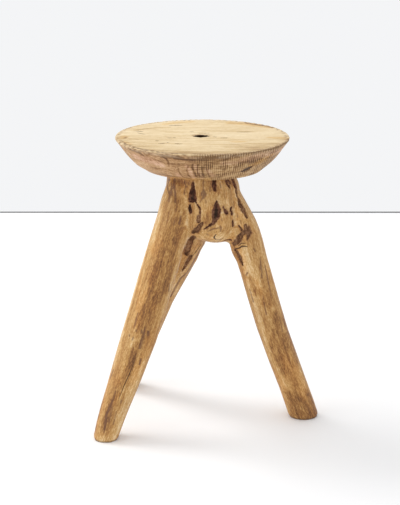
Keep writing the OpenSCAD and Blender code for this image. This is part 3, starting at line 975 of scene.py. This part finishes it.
def seat_material():
    """A scrubbed, pale plank with its grain along X, and a pinker, rougher bevel."""
    made = Material("plank_wood")
    place = made.node("TexCoord", {}).outputs["Object"]
    bevel, arris, hole, scored, groove, chips, margin = made.attributes(
        "bevel", "arris", "hole", "scored", "groove", "chips", "margin"
    )
    pit, knot, ring_mark, worn_edge = made.attributes("pit", "knot", "ring", "worn_edge")
    pink = made.range(made.attribute("pink"), -4, 3)
    gold = made.range(made.attribute("gold"), -6, 3)
    shade = made.range(made.attribute("shade"), -3, 1.5)

    # the grain's direction, a little askew to X
    board = made.node("Mapping", {"Vector": place, "Rotation": (0.0, 0.0, 0.035)}).outputs[0]
    rings = made.noise(made.scaled(board, (3, 34, 30)), 1.0, 2.0, None, 0.6, 0.4)
    rings = made.math("FRACT", made.math("MULTIPLY", rings, 13.0))
    streaks = made.noise(made.scaled(board, (9, 150, 130)), 1.0, 4.0, None, 0.6, 0.62)
    fibres = made.noise(made.scaled(board, (40, 620, 520)), 1.0, 3.0, None, 0.3, 0.6)
    patches = made.noise(made.scaled(board, (10, 26, 24)), 1.0, 4.0, None, 0.4, 0.55)
    flecks = made.noise(made.scaled(board, (70, 520, 420)), 1.0, 2.0, None, 0.0, 0.5)
    mottle = made.noise(made.scaled(place, (190, 190, 260)), 1.0, 5.0, None, 0.8, 0.65)

    tone = made.weighted(0.66, (0.9, streaks), (1.0, fibres), (0.7, patches), (0.12, rings), (0.4, mottle))
    tone = made.math("SUBTRACT", tone, made.math("MULTIPLY", gold, 0.14))
    # the top made darker towards its front edge
    front_darkening = made.math("MULTIPLY", margin, made.range(streaks, 0.35, 0.65, 0.34, 0.12))
    tone = made.math("SUBTRACT", tone, front_darkening)
    # stains on the top, and painted shade on the rim under the arris, darken the tone
    stains_and_painted_shade = made.math("MULTIPLY", shade, made.range(streaks, 0.4, 0.6, 0.5, 0.25))
    tone = made.math("SUBTRACT", tone, stains_and_painted_shade, True)
    top = made.ramp(tone, (
        (0.0, (0.2, 0.11, 0.045)), (0.3, (0.42, 0.265, 0.115)), (0.5, (0.6, 0.44, 0.225)),
        (0.7, (0.7, 0.545, 0.325)), (1.0, (0.79, 0.66, 0.44)),
    ))
    top = made.mix(made.math("MULTIPLY", gold, 0.55), top, (1.04, 0.9, 0.66), "MULTIPLY")
    top = made.mix(made.range(flecks, 0.66, 0.73, 0, 0.6), top, (0.26, 0.16, 0.08))

    layers = made.noise(made.scaled(place, (16, 16, 240)), 1.0, 4.0, None, 1.2, 0.6)
    side_tone = made.weighted(
        0.58, (1.1, mottle), (1.1, layers), (0.5, streaks), (0.6, patches), (0.2, rings)
    )
    ringed = made.math("MULTIPLY", made.range(ring_mark, -1.6, 1.0), 0.42)
    side_tone = made.math("SUBTRACT", side_tone, ringed)
    side_tone = made.math("SUBTRACT", side_tone, made.math("MULTIPLY", shade, 0.12))
    side_tone = made.math("ADD", side_tone, made.math("MULTIPLY", pink, 0.17))
    scoring = made.math("MULTIPLY", scored, 0.06)
    scoring = made.math("SUBTRACT", scoring, made.math("MULTIPLY", groove, 0.7))
    side_tone = made.math("ADD", side_tone, scoring, True)
    side = made.ramp(side_tone, (
        (0.0, (0.11, 0.046, 0.016)), (0.3, (0.24, 0.118, 0.045)), (0.5, (0.38, 0.21, 0.09)),
        (0.7, (0.51, 0.305, 0.15)), (1.0, (0.68, 0.47, 0.28)),
    ))
    side = made.mix(made.math("MULTIPLY", scored, 0.6), side, (0.93, 1.0, 0.92), "MULTIPLY")
    side = made.mix(made.math("MULTIPLY", pink, 0.7), side, (1.0, 0.93, 1.12), "MULTIPLY")
    side = made.mix(made.math("MULTIPLY", gold, 0.7), side, (1.15, 1.02, 0.62), "MULTIPLY")

    colour = made.mix(bevel, top, side)
    # the arris: pale from rubbed wear and a painted highlight, but chipped and dark where it is scored
    rubbed_and_highlit = made.math("MULTIPLY", arris, made.range(streaks, 0.4, 0.6, 0.5, 0.1))
    colour = made.mix(rubbed_and_highlit, colour, (0.66, 0.5, 0.32))
    colour = made.mix(made.math("MULTIPLY", chips, 0.75), colour, (0.2, 0.1, 0.035))
    ragged = made.math("ADD", worn_edge, made.weighted(0.0, (7.0, mottle), (2.5, flecks)))
    ragged = made.math("ADD", ragged, made.math("MULTIPLY", chips, 2.4))
    ragged = made.math("SUBTRACT", ragged, scored)
    colour = made.mix(made.range(ragged, -1.2, 1.4, 0, 0.8), colour, (0.18, 0.092, 0.032))
    colour = made.mix(made.range(pit, -1.5, -0.1, 0, 0.9), colour, (0.14, 0.07, 0.026))
    colour = made.mix(made.range(knot, -1.0, 0.4, 0, 0.92), colour, (0.06, 0.028, 0.014))
    # the bore and its lip painted near black: painted shade inside the hole
    painted_hole_shade = made.mix(made.range(mottle, 0.4, 0.65), (0.03, 0.015, 0.006), (0.12, 0.06, 0.025))
    colour = made.mix(hole, colour, painted_hole_shade)

    roughness = made.range(fibres, 0.3, 0.7, 0.55, 0.75)
    height = made.weighted(0.5, (0.6, fibres), (0.5, streaks), (0.3, mottle))
    normal = made.bump(height, 0.0012, 0.5)
    made.put(made.shader.inputs["Specular IOR Level"], 0.3)
    return made.finish(base_color=colour, roughness=roughness, normal=normal)


# ---------------------------------------------------------------- the peg and its wedges
# Each piece that keeps its CAD shape: its slot, and its darkest and palest wood.
PEG_PIECES = {
    "seat_peg": ("peg_wood", (0.035, 0.017, 0.008), (0.2, 0.115, 0.055)),
    "top_wedge": ("wedge_wood", (0.07, 0.034, 0.015), (0.3, 0.18, 0.09)),
    "blind_wedge": ("wedge_wood", (0.1, 0.055, 0.026), (0.38, 0.24, 0.13)),
}


def peg_material(name, dark, pale):
    """Darkened split wood: rings round the peg's axis on the ends, and fibres along it."""
    made = Material(name)
    place = made.node("TexCoord", {}).outputs["Object"]
    from_axis = (-HOLE_CENTRE[0], -HOLE_CENTRE[1], 0.0)
    centred = made.node("Mapping", {"Vector": place, "Location": from_axis}).outputs[0]
    wave = {"Vector": centred, "Scale": 110.0, "Distortion": 2.5, "Detail": 3.0}
    rings = made.node("TexWave", wave, wave_type="RINGS", rings_direction="Z").outputs["Fac"]
    fibres = made.noise(made.scaled(place, (900, 900, 50)), 1.0, 4.0, None, 0.3, 0.6)
    blotches = made.noise(place, 160.0, 3.0, None, 0.4)
    tone = made.weighted(0.45, (0.5, rings), (0.9, fibres), (0.7, blotches))
    middle = tuple(0.5 * (a + b) for a, b in zip(dark, pale))
    colour = made.ramp(tone, ((0.0, dark), (0.5, middle), (1.0, pale)))
    roughness = made.range(fibres, 0.3, 0.7, 0.65, 0.85)
    normal = made.bump(made.weighted(0.5, (0.4, rings), (0.7, fibres)), 0.0008, 0.6)
    return made.finish(base_color=colour, roughness=roughness, normal=normal)


def finish_peg_pieces():
    for node, (slot, dark, pale) in PEG_PIECES.items():
        piece = frame["nodes"][node]
        material = peg_material(node + "_wood", dark, pale)
        for holder in piece.material_slots:
            holder.material = material


# ---------------------------------------------------------------- the stage
# The camera: its lens and pitch (degrees down), and its place from the seat's axis and the floor
CAMERA_LENS = 103.34
CAMERA_PITCH = 16.207
CAMERA_DISTANCE = 2.2
CAMERA_HEIGHT = 0.9127
CAMERA_SIDEWAYS = -0.00385
# How far the floor reaches to each side and to the front, and how far behind the stool it ends
FLOOR_REACH = 8.0
FLOOR_END = 1.29
FLOOR_EDGE_HEIGHT = 2.4 * MM


def make_camera():
    """The photograph's viewpoint: a long lens, looking along +Y and pitched down."""
    data = bpy.data.cameras.new("camera")
    data.sensor_width = 36.0
    data.lens = CAMERA_LENS
    camera = bpy.data.objects.new("camera", data)
    bpy.context.scene.collection.objects.link(camera)
    across, along = SEAT_CENTRE
    camera.location = (across + CAMERA_SIDEWAYS, along - CAMERA_DISTANCE, CAMERA_HEIGHT)
    camera.rotation_euler = (math.radians(90 - CAMERA_PITCH), 0, 0)
    bpy.context.scene.camera = camera


def make_floor():
    """A pale studio floor that ends well behind the stool, against a pale backdrop."""
    material = Material("studio_floor")
    speckle = material.noise(material.node("TexCoord", {}).outputs["Object"], 3.0)
    colour = material.mix(speckle, (0.93, 0.93, 0.93), (0.95, 0.95, 0.95))
    material.finish(base_color=colour, roughness=0.6)
    left, right = -FLOOR_REACH, FLOOR_REACH
    front, back = -FLOOR_REACH, FLOOR_END
    mesh = bpy.data.meshes.new("studio_floor")
    corners = [(left, front, 0), (right, front, 0), (right, back, 0), (left, back, 0)]
    mesh.from_pydata(corners, [], [(0, 1, 2, 3)])
    mesh.materials.append(material.material)
    floor = new_object("studio_floor", mesh)


def make_floor_shadow_line():
    """A low ridge along the floor's far edge, painted dark as the shadow line between floor and backdrop.
    """
    material = Material("floor_shadow_line")
    speckle = material.noise(material.node("TexCoord", {}).outputs["Object"], 12.0)
    # painted shadow: the ridge stands in for the shade where floor meets backdrop
    colour = material.mix(speckle, (0.13, 0.13, 0.13), (0.17, 0.17, 0.17))
    material.finish(base_color=colour, roughness=0.8)
    front, height = FLOOR_END, FLOOR_EDGE_HEIGHT
    outline = [(front, 0), (front, height), (front + height, height), (front + height, 0)]
    points = [(x, y, z) for x in (-FLOOR_REACH, FLOOR_REACH) for y, z in outline]
    mesh = bpy.data.meshes.new("floor_shadow_line")
    mesh.from_pydata(points, [], [(k, (k + 1) % 4, (k + 1) % 4 + 4, k + 4) for k in range(4)])
    mesh.materials.append(material.material)
    new_object("floor_shadow_line", mesh)


def make_area_light(name, direction, distance, size, power):
    data = bpy.data.lights.new(name, "AREA")
    data.shape = "DISK"
    data.size = size
    data.energy = power
    light = bpy.data.objects.new(name, data)
    bpy.context.scene.collection.objects.link(light)
    aim = Vector((0, 0, 0.25))
    away = Vector(direction).normalized()
    light.location = aim + away * distance
    light.rotation_euler = away.to_track_quat("Z", "Y").to_euler()


def make_lights():
    """A broad soft key high on the left and a little behind, in a pale room."""
    world = bpy.data.worlds.new("pale_room")
    world.use_nodes = True
    background = world.node_tree.nodes["Background"]
    background.inputs["Color"].default_value = (0.905, 0.912, 0.925, 1)
    background.inputs["Strength"].default_value = 1.0
    bpy.context.scene.world = world
    make_area_light("key", (-0.6, 0.34, 1.0), 2.4, 1.0, 22)
    make_area_light("fill", (-1.0, -0.35, 0.35), 2.6, 1.6, 11)
    bpy.context.scene.view_settings.view_transform = "Standard"


make_camera()
make_floor()
make_floor_shadow_line()
make_lights()
make_base()
make_seat()
finish_peg_pieces()
